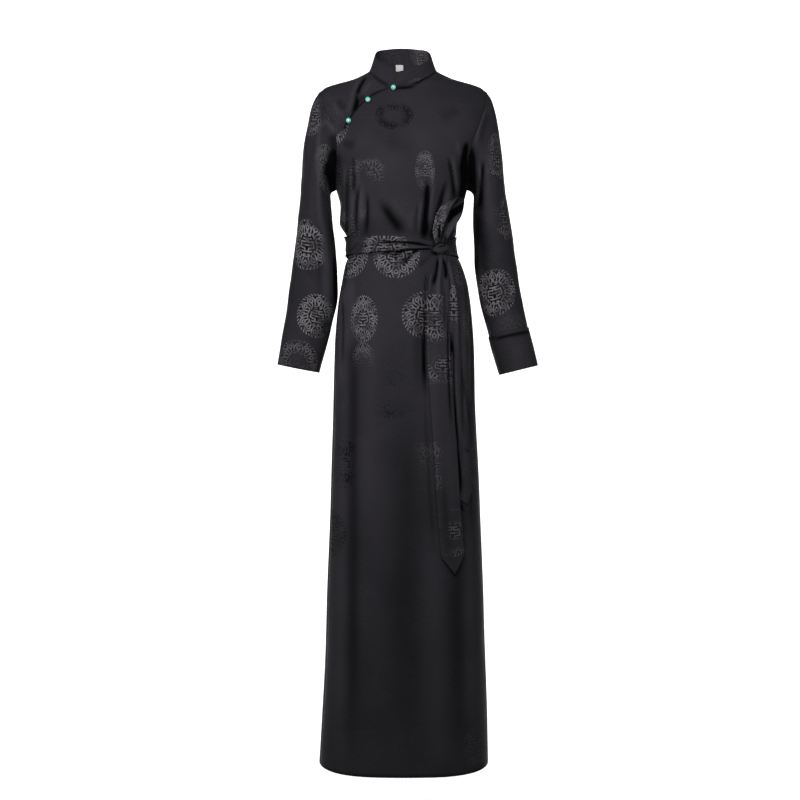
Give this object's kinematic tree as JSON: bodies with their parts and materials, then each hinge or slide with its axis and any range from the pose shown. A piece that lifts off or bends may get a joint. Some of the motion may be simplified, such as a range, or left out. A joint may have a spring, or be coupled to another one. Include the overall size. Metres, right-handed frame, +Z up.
{
  "type": "chuba dress",
  "caption": "Full-length long-sleeved chuba dress, filled out with no wearer, with a stand collar, a buttoned side flap and a tied belt.",
  "frame": {"origin": "middle of the neck, midway between the two shoulder points at the side of the neck, in the plane of the shoulder seams", "axes": "+Z up the body, -Y to the wearer's front, +X to the wearer's left, which is image right in the picture"},
  "size_m": [0.5132, 0.2708, 1.4346],
  "materials": {
    "damask": "black satin damask with tone-on-tone roundels",
    "turquoise": "polished turquoise-coloured ball",
    "label_tape": "bare white woven tape"
  },
  "bodies": {
    "root": {"bodice_front_flap": "damask", "bodice_front_underlap": "damask", "bodice_back": "damask", "stand_collar": "damask", "neck_label": "label_tape", "sleeve_left": "damask", "sleeve_right": "damask", "cuff_left": "damask", "skirt_front": "damask", "skirt_back": "damask", "belt_band": "damask", "belt_knot": "damask", "belt_loop": "damask", "belt_tail_long": "damask", "belt_tail_short": "damask", "button_1": "turquoise", "button_2": "turquoise", "button_3": "turquoise", "button_loop_1": "damask", "button_loop_2": "damask", "button_loop_3": "damask"}
  },
  "joints": []
}
